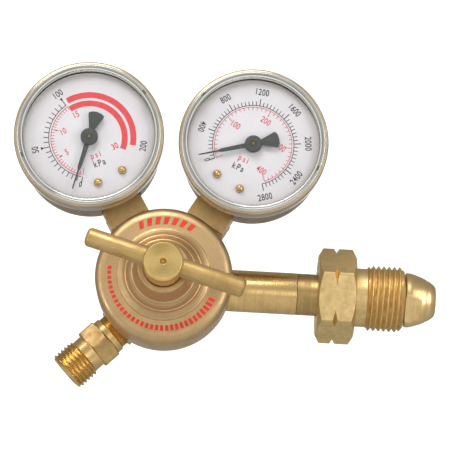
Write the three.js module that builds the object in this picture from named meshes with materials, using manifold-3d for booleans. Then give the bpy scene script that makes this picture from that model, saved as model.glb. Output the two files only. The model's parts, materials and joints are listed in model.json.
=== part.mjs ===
// Single-stage fuel-gas pressure regulator with two round gauges.
// Millimetres, +Z up, front of the regulator towards -Y.
// Origin: tip of the inlet nipple, on the inlet axis, which runs along X.
import * as THREE from "three";
import { mergeVertices } from "three/addons/utils/BufferGeometryUtils.js";
import Module from "manifold-3d";

const wasm = await Module();
wasm.setup();

// ---- Driving dimensions ----------------------------------------------------------
const GAP = 0.3; // left between pieces that touch
const NOSE_TIP_X = 93.2; // inlet nipple tip, from the regulator's centre line

// Depths are measured forwards, towards the T-handle, from the plane of the ports.
const BODY_BACK = -9.5;
const BODY_RADIUS = 20.3;
const FLANGE = { radius: 23.0, back: 4.6, front: 7.3 };
const CUP = { radius: 16.5, floor: 4.0, rim: 10.0, outer: 20.8 };
const BONNET = { radius: 23.1, back: 7.6, face: 24.2, nose: 37.5, noseRadius: 8.5 };
const SCREW = { hubRadius: 6.65, threadRadius: 6.2, tip: 26.3, front: 48.5 };
const T_BAR = { radius: 3.175, length: 54.4, depth: 44.2, tiltDeg: -15.6 };
const T_BAR_OFFSET = { along: 0.6, across: 0.5 }; // the bar isn't quite centred in its hole

const PORT_DEG = { inlet: 0, highGauge: 59.5, lowGauge: 121.1, outlet: 225 };
const ARM_RADIUS = 7.2;
const ARM_END = 45.6;
const GAUGE_BOSS = { radius: 8.2, end: 23.2, bore: 5.2, boreStart: 17.4 };
const OUTLET_BOSS = { radius: 7.1, end: 22.2, bore: 6.3 };

const NUT = { acrossFlats: 28.575, back: 52.6, hexEnd: 65.5, threadStart: 69.4, front: 82.2 };
const NUT_NECK_RADIUS = 10.05;
const NUT_THREAD_RADIUS = 11.24; // 0.885 in major diameter
const NUT_BORE_RADIUS = 7.5;
const NUT_GROOVE = { at: 58.6, halfWidth: 1.0, depth: 1.6 };

const HOSE = { hexBack: 26.7, hexEnd: 33.1, threadStart: 36.4, end: 44.8 };
const HOSE_HEX_AF = 14.29; // 9/16 in
const HOSE_THREAD_RADIUS = 7.1; // 9/16 in major diameter

const GAUGE_DISTANCE = { high: 54.6, low: 54.2 }; // dial centres from the regulator's centre line
const CASE = { radius: 24.0, wall: 0.8, back: -0.5, lip: 22.6, corner: 4.5 };
const LENS = { radius: 25.4, rimBack: 19.8, front: 26.2, window: 22.4 };
const DIAL = { radius: 22.8, back: 19.6, thickness: 0.6 };
const STEM = { halfWidth: 7.15, front: 8.35, back: -3.6, low: -29.6, depth: 1.6 };
const POST_FRONT = 9.5;
const DIAL_SCREW = { x: 4.6, z: -15.3 };
const POINTER_REST_DEG = 45; // clockwise from straight down

const PINION = { teeth: 8, module: 0.25 };
const SECTOR = { teeth: 80, pivotZ: -11, tail: 5.5, tailDeg: -13.5 };
const TUBE = { radius: 18.5, wide: 4.6, thick: 1.5, depth: 7.5, startDeg: 246, endDeg: -20 };
const TIP_PIN = { x: 15.6, z: -10.6 };
const MOVEMENT_SCREWS = [[-2.2, -5.2], [2.2, 1.6]];
const VENT_Z = 14; // rubber plug in the case back, above the dial's centre

const TURNED = 24; // facets round a turned piece
const SMALL = 12; // facets round a small one
const TINY = 8; // facets round pins, pivots and screws

// ---- Materials ---------------------------------------------------------------------
const finish = (color, roughness, metalness, extra = {}) =>
  new THREE.MeshStandardMaterial({ color, roughness, metalness, ...extra });
const brass = finish(0xc9a45c, 0.3, 1.0);
const goldSatin = finish(0xb99a6e, 0.45, 0.9);
const steel = finish(0x9a9a98, 0.35, 1.0);
const rubber = finish(0x202020, 0.8, 0.0);
const nylon = finish(0xe8e4d8, 0.5, 0.0);
const clear = finish(0xe6eef0, 0.08, 0.0, { transparent: true, opacity: 0.3 });
const dialWhite = finish(0xe4e2e8, 0.5, 0.0);
const pointerBlack = finish(0x17181a, 0.55, 0.1);

// ---- Solids ------------------------------------------------------------------------
// Position-only, merged and facing out: the form that both a mesh and a boolean need.
function closed(geometry) {
  geometry.deleteAttribute("normal");
  geometry.deleteAttribute("uv");
  const merged = mergeVertices(geometry, 1e-4);
  const p = merged.attributes.position;
  const kept = [];
  const [a, b, c] = [new THREE.Vector3(), new THREE.Vector3(), new THREE.Vector3()];
  let volume = 0;
  for (let i = 0; i < merged.index.count; i += 3) {
    const [ia, ib, ic] = [0, 1, 2].map((k) => merged.index.getX(i + k));
    if (ia === ib || ib === ic || ic === ia) continue;
    kept.push(ia, ib, ic);
    a.fromBufferAttribute(p, ia);
    b.fromBufferAttribute(p, ib);
    c.fromBufferAttribute(p, ic);
    volume += a.dot(b.cross(c)) / 6;
  }
  merged.setIndex(volume < 0 ? kept.reverse() : kept);
  return merged;
}

function solid(geometry) {
  const g = closed(geometry);
  return new wasm.Manifold(
    new wasm.Mesh({
      numProp: 3,
      vertProperties: g.attributes.position.array,
      triVerts: new Uint32Array(g.index.array),
    }),
  );
}

function geometryOf(manifold) {
  const m = manifold.getMesh();
  const g = new THREE.BufferGeometry();
  g.setAttribute("position", new THREE.BufferAttribute(new Float32Array(m.vertProperties), 3));
  g.setIndex(Array.from(m.triVerts));
  return g;
}

const join = (...geometries) =>
  geometryOf(geometries.map(solid).reduce((all, one) => all.add(one)));
const cut = (geometry, ...tools) =>
  geometryOf(tools.map(solid).reduce((left, tool) => left.subtract(tool), solid(geometry)));
const common = (one, other) => geometryOf(solid(one).intersect(solid(other)));

// A profile of [radius, distance] points turned about the local Y axis.
const turned = (points, facets = TURNED) =>
  new THREE.LatheGeometry(points.map(([r, y]) => new THREE.Vector2(r, y)), facets);

const rod = (radius, from, to, facets = TURNED) =>
  turned([[0, from], [radius, from], [radius, to], [0, to]], facets);

const ring = (inner, outer, from, to, facets = TURNED) =>
  turned([[inner, from], [outer, from], [outer, to], [inner, to], [inner, from]], facets);

const block = (x0, x1, y0, y1, z0, z1) =>
  new THREE.BoxGeometry(x1 - x0, y1 - y0, z1 - z0)
    .translate((x0 + x1) / 2, (y0 + y1) / 2, (z0 + z1) / 2);

// Local Y turned to the direction at an angle from +X towards +Z.
const aimed = (geometry, degrees) =>
  geometry.rotateZ(-Math.PI / 2).rotateY(-THREE.MathUtils.degToRad(degrees));

// Local Y turned to the front, so that a profile's distances are depths.
const fronted = (geometry) => geometry.rotateX(Math.PI);

// A flat outline in X and Z, filling the depths from back to front.
function plate(outline, back, front, holes = []) {
  const shape = outline instanceof THREE.Shape
    ? outline
    : new THREE.Shape(outline.map(([x, z]) => new THREE.Vector2(x, z)));
  holes.forEach(([x, z, r]) => {
    shape.holes.push(new THREE.Path().absarc(x, z, r, 0, 2 * Math.PI, true));
  });
  const options = { depth: front - back, bevelEnabled: false, curveSegments: 4 };
  return new THREE.ExtrudeGeometry(shape, options).rotateX(Math.PI / 2).translate(0, -back, 0);
}

function polar(radius, degrees, centre = [0, 0]) {
  const angle = THREE.MathUtils.degToRad(degrees);
  return [centre[0] + radius * Math.cos(angle), centre[1] + radius * Math.sin(angle)];
}

const arc = (radius, fromDeg, toDeg, steps, centre) =>
  Array.from({ length: steps + 1 }, (_, i) =>
    polar(radius, fromDeg + ((toDeg - fromDeg) * i) / steps, centre));

class Coil extends THREE.Curve {
  constructor(point) {
    super();
    this.point = point;
  }
  getPoint(t, target = new THREE.Vector3()) {
    return target.set(...this.point(t));
  }
}

// Round wire wound about the front axis between two depths, ends included.
function spring(radius, wire, back, front, coils, stepsPerTurn) {
  const [low, high] = [back + wire, front - wire];
  const path = new Coil((t) => {
    const angle = 2 * Math.PI * coils * t;
    return [radius * Math.cos(angle), -(low + (high - low) * t), radius * Math.sin(angle)];
  });
  const section = new THREE.Shape().absarc(0, 0, wire, 0, 2 * Math.PI, false);
  const steps = Math.round(coils * stepsPerTurn);
  return new THREE.ExtrudeGeometry(section, { extrudePath: path, steps, curveSegments: 3 });
}

function node(name, geometry, material, parent) {
  const mesh = new THREE.Mesh(closed(geometry), material);
  mesh.name = name;
  parent.add(mesh);
  return mesh;
}

// ---- Regulator body and bonnet -----------------------------------------------------
function bodyShape() {
  const drum = fronted(turned([
    [0, BODY_BACK], [11.2, BODY_BACK], [12, BODY_BACK + 0.8], [12, -7.5], [19.2, -7.5],
    [BODY_RADIUS, -6.4], [BODY_RADIUS, FLANGE.back], [FLANGE.radius, FLANGE.back],
    [FLANGE.radius, FLANGE.front], [CUP.outer, FLANGE.front], [CUP.outer, CUP.rim],
    [0, CUP.rim],
  ]));
  const { inlet, highGauge, lowGauge, outlet } = PORT_DEG;
  const boss = ({ radius, end }, degrees) => aimed(rod(radius, 10, end), degrees);
  // The bonnet's skirt passes in front of the gauge bosses.
  const skirtRoom = fronted(ring(12, 26, FLANGE.front - 0.1, 12, SMALL));
  const gaugeBoss = (degrees) =>
    cut(boss(GAUGE_BOSS, degrees).translate(0, -STEM.depth, 0), skirtRoom);
  const outside = join(
    drum,
    boss({ radius: ARM_RADIUS, end: ARM_END }, inlet),
    gaugeBoss(highGauge),
    gaugeBoss(lowGauge),
    boss(OUTLET_BOSS, outlet),
  );
  const cup = fronted(rod(CUP.radius, CUP.floor, CUP.rim + 1));
  const valveBore = fronted(turned([[0, -5.5], [3.2, -5.5], [3.2, -1.8], [6.2, -1.8], [6.2, 5], [0, 5]]));
  const threads = [
    aimed(rod(5.3, 34.2, ARM_END + 1), inlet),
    aimed(rod(GAUGE_BOSS.bore, GAUGE_BOSS.boreStart, 25), highGauge).translate(0, -STEM.depth, 0),
    aimed(rod(GAUGE_BOSS.bore, GAUGE_BOSS.boreStart, 25), lowGauge).translate(0, -STEM.depth, 0),
    aimed(rod(OUTLET_BOSS.bore, 17.6, 25), outlet),
  ];
  const highDepth = 3.6; // high-pressure passages lie behind the plane of the ports
  const lowDepth = -5.2; // outlet passages break into the front chamber
  const passage = (radius, from, to, degrees, y) =>
    aimed(rod(radius, from, to, TINY), degrees).translate(0, y, 0);
  const passages = [
    passage(2.4, 9, 36, inlet, 0),
    passage(1.5, 1, 12, inlet, highDepth),
    passage(1.1, 1, 19, highGauge, highDepth),
    passage(1.1, 14.5, 19, lowGauge, lowDepth),
    passage(1.1, 14.5, 19, outlet, lowDepth),
  ];
  return cut(outside, cup, valveBore, ...threads, ...passages);
}

function bonnetShape() {
  const { radius, back, face, nose, noseRadius } = BONNET;
  const edge = 3.5; // rounding of the front rim
  const rim = arc(edge, 0, 90, 4, [radius - edge, face - edge]);
  return fronted(turned([
    [21.1, back], [22.6, back], [radius, back + 0.5], ...rim,
    [15.7, face], [15.2, face + 0.7], [14.2, face + 1.2], [12.6, face + 2.9],
    [11.4, face + 5.1], [11.0, face + 5.8], [10.4, face + 6.1], [10.0, face + 7.4],
    [9.8, face + 8.7], [9.2, face + 9.1], [8.9, face + 10.6], [noseRadius, nose],
    [7.1, nose], [7.1, 33.0], [6.5, 32.5], [6.5, 28.2], [9.0, 28.2], [9.0, 22.6],
    [14.6, 19.6], [CUP.radius, 17.8], [CUP.radius, 12.7], [21.1, 12.7], [21.1, back],
  ]));
}

// ---- Loading parts, all on the front axis ----------------------------------------------
function tBarPlaced(geometry) {
  return geometry
    .rotateZ(-Math.PI / 2)
    .translate(T_BAR_OFFSET.along, -T_BAR.depth, T_BAR_OFFSET.across)
    .rotateY(-THREE.MathUtils.degToRad(T_BAR.tiltDeg));
}

function adjustingScrewShape() {
  const { hubRadius, threadRadius, tip, front } = SCREW;
  const shape = fronted(turned([
    [0, tip], [2.2, tip], [3.0, tip + 0.8], [3.0, 28.6], [threadRadius, 29.2],
    [threadRadius, 37.0], [hubRadius, 37.2], [hubRadius, front - 0.5],
    [hubRadius - 0.5, front], [1.0, front], [0, front - 1.4],
  ]));
  return cut(shape, tBarPlaced(rod(T_BAR.radius + GAP, -20, 20, SMALL)));
}

function tBarShape() {
  const half = T_BAR.length / 2;
  const round = 0.8;
  return tBarPlaced(turned([
    [0, -half], [T_BAR.radius - round, -half], [T_BAR.radius, round - half],
    [T_BAR.radius, half - round], [T_BAR.radius - round, half], [0, half],
  ], 24));
}

function addLoadingParts(group) {
  node("adjusting_screw", adjustingScrewShape(), brass, group);
  node("t_bar_handle", tBarShape(), brass, group);
  node("spring_button", fronted(turned([
    [0, 24.4], [8.4, 24.4], [8.4, 25.4], [4.4, 26.0], [0, 26.0],
  ])), steel, group);
  node("range_spring", spring(6.5, 0.8, 13.3, 24.1, 3.25, 12), steel, group);
  node("slip_ring", fronted(ring(16.9, 20.6, 11.5, 12.4)), nylon, group);
  node("diaphragm", fronted(turned([
    [2.4, 10.3], [13.2, 10.3], [14.8, 10.0], [16.2, 10.3], [20.4, 10.3],
    [20.4, 11.2], [16.0, 11.2], [14.8, 10.9], [13.4, 11.2], [2.4, 11.2], [2.4, 10.3],
  ])), rubber, group);
  node("diaphragm_plate", fronted(turned([
    [2.4, 11.5], [12.5, 11.5], [12.5, 12.9], [3.8, 12.9], [3.6, 14.2], [2.4, 14.2], [2.4, 11.5],
  ])), steel, group);
  node("diaphragm_stud", fronted(turned([
    [0, 8.9], [4.5, 8.9], [4.5, 10.0], [2.0, 10.0], [2.0, 14.5], [3.0, 14.5],
    [2.6, 15.4], [0, 15.4],
  ], SMALL)), brass, group);
}

// ---- Valve ---------------------------------------------------------------------------
function addValve(group) {
  const nozzle = turned([
    [3.6, -1.5], [5.9, -1.5], [5.9, 4.3], [7.4, 4.3], [7.4, 6.1], [7.0, 6.5],
    [1.6, 6.5], [1.6, 3.9], [2.6, 3.5], [3.6, 3.5], [3.6, -1.5],
  ]);
  node("nozzle", fronted(nozzle), brass, group);
  node("valve_poppet", fronted(turned([
    [0, -3.0], [1.2, -3.0], [1.2, 0.0], [2.9, 0.0], [2.9, 2.0], [1.15, 2.0],
    [1.15, 8.0], [0.7, 8.5], [0, 8.5],
  ], SMALL)), steel, group);
  node("valve_seat_ring", fronted(ring(1.45, 2.9, 2.3, 3.1, SMALL)), rubber, group);
  node("valve_spring", spring(2.1, 0.25, -5.2, -0.3, 4, 8), steel, group);
}

// ---- Inlet ---------------------------------------------------------------------------
function hexPrism(acrossFlats, from, to, turnDeg) {
  const corner = acrossFlats / Math.sqrt(3);
  return new THREE.CylinderGeometry(corner, corner, to - from, 6)
    .rotateY(THREE.MathUtils.degToRad(turnDeg))
    .translate(0, (from + to) / 2, 0);
}

function inletNutShape() {
  const { acrossFlats, back, hexEnd, threadStart, front } = NUT;
  const corner = acrossFlats / Math.sqrt(3) + 0.01;
  const flat = acrossFlats / 2 - 0.4;
  const chamfer = 1.5;
  const { at, halfWidth, depth } = NUT_GROOVE;
  const envelope = turned([
    [0, back], [flat, back], [corner, back + chamfer],
    [corner, at - halfWidth], [corner - depth, at], [corner, at + halfWidth],
    [corner, hexEnd - chamfer], [flat, hexEnd], [0, hexEnd],
  ]);
  const head = common(hexPrism(acrossFlats, back, hexEnd, 10.9), envelope);
  const stub = turned([
    [0, hexEnd - 2], [NUT_NECK_RADIUS, hexEnd - 2], [NUT_NECK_RADIUS, threadStart],
    [NUT_THREAD_RADIUS, threadStart + 0.9], [NUT_THREAD_RADIUS, front - 1.2],
    [NUT_NECK_RADIUS, front], [0, front],
  ]);
  return aimed(cut(join(head, stub), rod(NUT_BORE_RADIUS, back - 1, front + 1)), 0);
}

function inletNippleShape() {
  const shankRadius = 7.15;
  const base = 82.7;
  const shape = turned([
    [2.2, 60], [3.3, 59], [3.3, 34.6], [4.9, 34.6], [5.0, ARM_END], [shankRadius - 0.3, ARM_END + GAP],
    [shankRadius, ARM_END + 0.6], [shankRadius, base], [9.1, base], [9.4, base + 0.4],
    [9.35, 84.6], [8.1, 88.4], [6.6, 91.4], [5.5, 92.8], [4.9, NOSE_TIP_X],
    [2.2, NOSE_TIP_X], [2.2, 60],
  ]);
  const flats = [-1, 1].map((side) =>
    block(side * 12 - 3.5, side * 12 + 3.5, base, base + 3.8, -12, 12)
      .rotateY(THREE.MathUtils.degToRad(-58)));
  return aimed(cut(shape, ...flats), 0);
}

function addInlet(group) {
  node("inlet_nipple", inletNippleShape(), brass, group);
  node("inlet_nut", inletNutShape(), brass, group);
  node("inlet_filter", aimed(turned([
    [0, 57], [2.9, 57], [2.9, 46], [1.7, 46], [1.7, 55], [0, 55],
  ], SMALL), 0), brass, group);
}

// ---- Outlet --------------------------------------------------------------------------
function hoseAdapterShape() {
  const { hexBack, hexEnd, threadStart, end } = HOSE;
  const corner = HOSE_HEX_AF / Math.sqrt(3) + 0.01;
  const flat = HOSE_HEX_AF / 2 - 0.2;
  const envelope = turned([
    [0, hexBack], [flat, hexBack], [corner, hexBack + 0.7],
    [corner, hexEnd - 0.7], [flat, hexEnd], [0, hexEnd],
  ]);
  const head = common(hexPrism(HOSE_HEX_AF, hexBack, hexEnd, 83), envelope);
  const neck = 6.4;
  const stem = turned([
    [0, 18], [5.9, 18], [6.1, 24.4], [6.6, 24.6], [6.6, hexBack + 1], [neck, hexBack + 1],
    [neck, threadStart], [HOSE_THREAD_RADIUS, threadStart + 0.6],
    [HOSE_THREAD_RADIUS, end - 0.8], [neck, end], [0, end],
  ]);
  const bore = turned([[0, 17], [2.3, 17], [2.3, end - 2.4], [4.8, end + 0.2], [0, end + 0.2]], SMALL);
  return aimed(cut(join(head, stem), bore), PORT_DEG.outlet);
}

// ---- Gauges: local X right, Z up the dial, depth forwards -----------------------------
function socketShape() {
  const { halfWidth, front, back, low, depth } = STEM;
  const caseBottom = -CASE.radius - GAP;
  const inCase = CASE.back + CASE.wall + 2 * GAP;
  const pillar = ([x, z]) => fronted(rod(1.7, front - 1, DIAL.back - GAP, SMALL)).translate(x, 0, z);
  const drill = ([x, z]) => fronted(rod(0.9, 12, 20, TINY)).translate(x, 0, z);
  const screwHole = ([x, z]) => fronted(rod(0.8, 6, 12, TINY)).translate(x, 0, z);
  const dialScrews = [-1, 1].map((side) => [side * DIAL_SCREW.x, DIAL_SCREW.z]);
  const body = join(
    block(-halfWidth, halfWidth, -front, -back, low, caseBottom),
    block(-halfWidth, halfWidth, -front, -inCase, caseBottom - 1, -16.6),
    block(-6.3, 6.3, -front, -inCase, -18, -13.4),
    block(-3.6, 3.6, -POST_FRONT, -inCase, -14, 4),
    aimed(rod(4.9, low - 6.6, low + 1, SMALL), 90).translate(0, -depth, 0),
    ...dialScrews.map(pillar),
  );
  const gasHole = aimed(rod(1.1, low - 8, -26, TINY), 90).translate(0, -depth, 0);
  return cut(body, gasHole, ...dialScrews.map(drill), ...MOVEMENT_SCREWS.map(screwHole));
}

function gaugeCaseShape() {
  const { radius, wall, back, lip, corner } = CASE;
  const inner = radius - wall;
  const round = (size, from, to) =>
    arc(size, from, to, 3, [radius - corner, back + corner]);
  const shell = fronted(turned([
    [0, back], ...round(corner, -90, 0), [radius, lip], [inner, lip],
    ...round(corner - wall, 0, -90), [0, back + wall],
  ], 28));
  const slot = STEM.halfWidth + GAP;
  const stemSlot = block(-slot, slot, -lip - 1, -(back + wall + 0.1), -radius - 1, -19.2);
  const ventHole = fronted(rod(3.0, back - 1, back + wall + 1, SMALL)).translate(0, 0, VENT_Z);
  return cut(shell, stemSlot, ventHole);
}

function lensShape() {
  const { radius, rimBack, front, window } = LENS;
  const inside = CASE.radius + GAP;
  return fronted(turned([
    [0, front - 1.5], [window, front - 1.5], [window, CASE.lip + GAP], [inside, CASE.lip + GAP],
    [inside, rimBack], [radius, rimBack], [radius, front - 1.9], [24.6, front - 0.9],
    [23.6, front - 0.2], [22.8, front], [0, front],
  ], 28));
}

function pointerShape() {
  const outline = [
    [-0.85, 2.4], [-0.28, 18.9], [0.28, 18.9], [0.85, 2.4],
    [0.9, -2.4], [2.7, -8.4], [0, -9.0], [-2.7, -8.4], [-0.9, -2.4],
  ];
  const blade = plate(outline, 21.4, 21.8);
  const hub = fronted(turned([[0, 21.0], [2.95, 21.0], [2.95, 22.2], [2.5, 22.5], [0, 22.5]], SMALL));
  const arborHole = fronted(rod(0.85, 20, 23, TINY));
  return cut(join(blade, hub), arborHole).rotateY(
    THREE.MathUtils.degToRad(180 + POINTER_REST_DEG),
  );
}

// Straight-sided teeth on the pitch circle of a wheel of the given module.
function toothOutline(teeth, module, firstDeg, count) {
  const pitch = (teeth * module) / 2;
  const step = 360 / teeth;
  const wide = (mm, radius) => THREE.MathUtils.radToDeg(mm / radius) / 2;
  const [root, tip] = [pitch - 1.3 * module, pitch + 0.75 * module];
  return Array.from({ length: count }, (_, i) => firstDeg + i * step).flatMap((at) => [
    polar(root, at - wide(1.5 * module, root)),
    polar(tip, at - wide(0.7 * module, tip)),
    polar(tip, at + wide(0.7 * module, tip)),
    polar(root, at + wide(1.5 * module, root)),
  ]);
}

function arborShape() {
  const { teeth, module } = PINION;
  const pinion = plate(toothOutline(teeth, module, -90, teeth), 11.9, 13.7);
  return join(fronted(rod(0.55, 10.0, 22.8, TINY)), pinion);
}

function sectorShape() {
  const { teeth, pivotZ, tail, tailDeg } = SECTOR;
  const step = 360 / teeth;
  const first = 90 - 7.5 * step;
  const rim = toothOutline(teeth, PINION.module, first, 9);
  const rimRoot = (teeth * PINION.module) / 2 - 1.3 * PINION.module;
  const last = first + 8 * step;
  const [back, front] = [12.3, 13.3];
  const body = plate([...rim, ...arc(rimRoot - 1.6, last + 2, first - 2, 6)], back, front);
  const spoke = plate([[1.2, 0], [1.6, 9.0], [6.5, 7.0], [1.6, -0.6]], back, front);
  const hub = fronted(rod(1.7, back, front, SMALL));
  const shaft = fronted(rod(0.55, 10.0, 15.8, TINY));
  const tailArm = plate([[0, -1.1], [tail, -0.9], [tail + 1, 0], [tail, 0.9], [0, 1.1]], back, front)
    .rotateY(THREE.MathUtils.degToRad(-tailDeg));
  const pin = polar(tail, tailDeg);
  const tailPin = fronted(rod(0.4, 13.0, 14.5, TINY)).translate(pin[0], 0, pin[1]);
  return join(body, spoke, hub, shaft, tailArm, tailPin).translate(0, 0, pivotZ);
}

function linkShape() {
  const [x0, z0] = polar(SECTOR.tail, SECTOR.tailDeg, [0, SECTOR.pivotZ]);
  const { x, z } = TIP_PIN;
  const length = Math.hypot(x - x0, z - z0);
  const angle = Math.atan2(z - z0, x - x0);
  const outline = [[-1.5, -1.1], [length + 1.5, -1.1], [length + 1.5, 1.1], [-1.5, 1.1]];
  return plate(outline, 13.6, 14.1, [[0, 0, 0.7], [length, 0, 0.85]])
    .rotateY(-angle)
    .translate(x0, 0, z0);
}

function tubeShape() {
  const { radius, wide, thick, depth, startDeg, endDeg } = TUBE;
  const path = new Coil((t) => {
    const angle = THREE.MathUtils.degToRad(startDeg + (endDeg - startDeg) * t);
    return [radius * Math.cos(angle), -depth, radius * Math.sin(angle)];
  });
  const section = new THREE.Shape();
  const [a, b] = [wide / 2, thick / 2];
  [[-a, -b * 0.5], [-a * 0.8, -b], [a * 0.8, -b], [a, -b * 0.5], [a, b * 0.5], [a * 0.8, b],
    [-a * 0.8, b], [-a, b * 0.5]].forEach(([x, y], i) => {
    if (i === 0) section.moveTo(x, y);
    else section.lineTo(x, y);
  });
  return new THREE.ExtrudeGeometry(section, { extrudePath: path, steps: 22 });
}

function tubeEndShape() {
  const { radius, wide, depth, endDeg } = TUBE;
  const turn = THREE.MathUtils.degToRad(-endDeg);
  const cap = block(radius - 1.4, radius + 1.4, -depth - wide / 2, -depth + wide / 2, -2.8, -0.5)
    .rotateY(turn);
  const arm = block(TIP_PIN.x - 0.9, 17.6, -11.9, -7, TIP_PIN.z - 1.0, TIP_PIN.z + 2.0);
  const pin = fronted(rod(0.4, 11, 14.5, TINY)).translate(TIP_PIN.x, 0, TIP_PIN.z);
  return join(cap, arm, pin);
}

function movementFrameShape() {
  const hole = (x, z, r) => fronted(rod(r, 9, 17, TINY)).translate(x, 0, z);
  const slab = (x0, x1, z0, z1, back, front) => block(x0, x1, -front, -back, z0, z1);
  const pivot = SECTOR.pivotZ;
  const joined = join(
    slab(-8.2, 8.2, pivot - 1.9, 3.6, 9.8, 10.8),
    slab(-8.2, 8.2, pivot - 1.9, 3.6, 15.0, 15.9),
    ...[[-7.2, -7.6], [7.2, 2.6]].map(([x, z]) => fronted(rod(0.9, 10.3, 15.4, TINY)).translate(x, 0, z)),
  );
  return cut(
    joined,
    hole(0, 0, 0.75),
    hole(0, pivot, 0.75),
    ...MOVEMENT_SCREWS.map(([x, z]) => hole(x, z, 1.6)),
  );
}

function hairspringShape() {
  const [inner, outer, turns] = [1.3, 3.3, 2.5];
  const path = new Coil((t) => {
    const angle = 2 * Math.PI * turns * t;
    const radius = inner + (outer - inner) * t;
    return [radius * Math.cos(angle), -14.35, radius * Math.sin(angle)];
  });
  const section = new THREE.Shape();
  section.moveTo(-0.3, -0.1).lineTo(0.3, -0.1).lineTo(0.3, 0.1).lineTo(-0.3, 0.1);
  return new THREE.ExtrudeGeometry(section, { extrudePath: path, steps: 30 });
}

function screwShape(headRadius, headHeight, shankRadius, length) {
  return turned([
    [0, -length], [shankRadius, -length], [shankRadius, 0], [headRadius, 0],
    [headRadius, headHeight * 0.4], [headRadius * 0.6, headHeight], [0, headHeight],
  ], TINY);
}

function dialShape() {
  const holes = [[0, 0, 1.3], [-DIAL_SCREW.x, DIAL_SCREW.z, 0.95], [DIAL_SCREW.x, DIAL_SCREW.z, 0.95]];
  const disc = new THREE.Shape(arc(DIAL.radius, 0, 360 - 11.25, 31).map(([x, z]) => new THREE.Vector2(x, z)));
  return plate(disc, DIAL.back, DIAL.back + DIAL.thickness, holes);
}

function addGauge(prefix, degrees, distance, parent) {
  const gauge = new THREE.Group();
  gauge.rotation.y = THREE.MathUtils.degToRad(90 - degrees);
  gauge.position.set(
    distance * Math.cos(THREE.MathUtils.degToRad(degrees)),
    0,
    distance * Math.sin(THREE.MathUtils.degToRad(degrees)),
  );
  parent.add(gauge);
  const add = (name, geometry, material) => node(`${prefix}_${name}`, geometry, material, gauge);

  add("case", gaugeCaseShape(), goldSatin);
  add("lens", lensShape(), clear);
  add("dial", dialShape(), dialWhite);
  add("socket", socketShape(), brass);
  add("bourdon_tube", tubeShape(), brass);
  add("tube_end", tubeEndShape(), brass);
  add("movement_frame", movementFrameShape(), brass);
  add("sector_gear", sectorShape(), brass);
  add("link", linkShape(), steel);
  add("arbor_pinion", arborShape(), brass);
  add("hairspring", hairspringShape(), brass);
  add("pointer", pointerShape(), pointerBlack);
  const vent = CASE.back + CASE.wall + GAP;
  add("blowout_plug", fronted(turned([
    [0, CASE.back - 0.4], [2.7, CASE.back - 0.4], [2.7, vent], [3.9, vent], [3.9, vent + 0.7],
    [0, vent + 0.7],
  ], SMALL)).translate(0, 0, VENT_Z), rubber);
  [-1, 1].forEach((side, i) => {
    const screw = fronted(screwShape(1.45, 0.9, 0.6, 6)).translate(0, -(DIAL.back + DIAL.thickness + GAP), 0);
    add(`dial_screw_${i + 1}`, screw.translate(side * DIAL_SCREW.x, 0, DIAL_SCREW.z), brass);
  });
  MOVEMENT_SCREWS.forEach(([x, z], i) => {
    const screw = fronted(screwShape(1.3, 0.7, 0.55, 4)).translate(x, -11.1, z);
    add(`movement_screw_${i + 1}`, screw, steel);
  });
}

// ---- Assembly ------------------------------------------------------------------------
const group = new THREE.Group();
const regulator = new THREE.Group();
regulator.position.x = -NOSE_TIP_X;
group.add(regulator);

node("regulator_body", bodyShape(), brass, regulator);
node("bonnet", bonnetShape(), goldSatin, regulator);
addLoadingParts(regulator);
addValve(regulator);
addInlet(regulator);
node("hose_adapter", hoseAdapterShape(), brass, regulator);
addGauge("low_gauge", PORT_DEG.lowGauge, GAUGE_DISTANCE.low, regulator);
addGauge("high_gauge", PORT_DEG.highGauge, GAUGE_DISTANCE.high, regulator);

export default group;
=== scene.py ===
import json
import math

import bmesh
import bpy
import numpy as np
from mathutils import Matrix, Vector

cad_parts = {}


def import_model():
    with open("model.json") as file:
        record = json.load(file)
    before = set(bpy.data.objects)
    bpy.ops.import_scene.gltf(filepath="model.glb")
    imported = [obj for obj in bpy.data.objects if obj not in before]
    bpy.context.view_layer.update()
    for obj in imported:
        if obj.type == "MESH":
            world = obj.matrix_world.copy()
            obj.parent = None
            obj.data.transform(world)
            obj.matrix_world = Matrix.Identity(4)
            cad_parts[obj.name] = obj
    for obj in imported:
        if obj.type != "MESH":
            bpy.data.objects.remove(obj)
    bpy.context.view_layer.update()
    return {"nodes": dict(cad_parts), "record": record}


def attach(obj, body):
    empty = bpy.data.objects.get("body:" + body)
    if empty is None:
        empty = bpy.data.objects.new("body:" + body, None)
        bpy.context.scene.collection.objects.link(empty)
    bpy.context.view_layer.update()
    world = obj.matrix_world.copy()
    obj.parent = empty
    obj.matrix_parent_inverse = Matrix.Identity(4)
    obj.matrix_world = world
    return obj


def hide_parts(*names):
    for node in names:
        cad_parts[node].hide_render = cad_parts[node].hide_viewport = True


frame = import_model()

# ---- Sizes in millimetres; depths run forwards from the plane of the ports ------------
MM = 0.001
CENTRE_X = -93.2
GAUGE_DISTANCE = {"low": 54.2, "high": 54.6}
GAUGE_DEG = {"low": 121.1, "high": 59.5}
OUTLET_DEG = 225
POINTER_REST_DEG = 45
T_BAR_TILT_DEG = -15.6
T_BAR_DEPTH = 44.2
STEM_DEPTH = 1.6
COLUMNS = 144
LEFT_HAND = 1


# ---- Placing: every piece is built about its own Z axis --------------------------------
def placed(x_axis, z_axis, at=(0, 0, 0)):
    x, z = Vector(x_axis).normalized(), Vector(z_axis).normalized()
    y = z.cross(x)
    place = Matrix((x, y, z)).transposed().to_4x4()
    place.translation = Vector((CENTRE_X * MM, 0, 0)) + Vector(at) * MM
    return place


def along(degrees, depth=0):
    """Z out along a port, X turned a quarter on from it."""
    a = math.radians(degrees)
    out, side = (math.cos(a), 0, math.sin(a)), (-math.sin(a), 0, math.cos(a))
    return placed(side, out, (0, -depth, 0))


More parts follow.
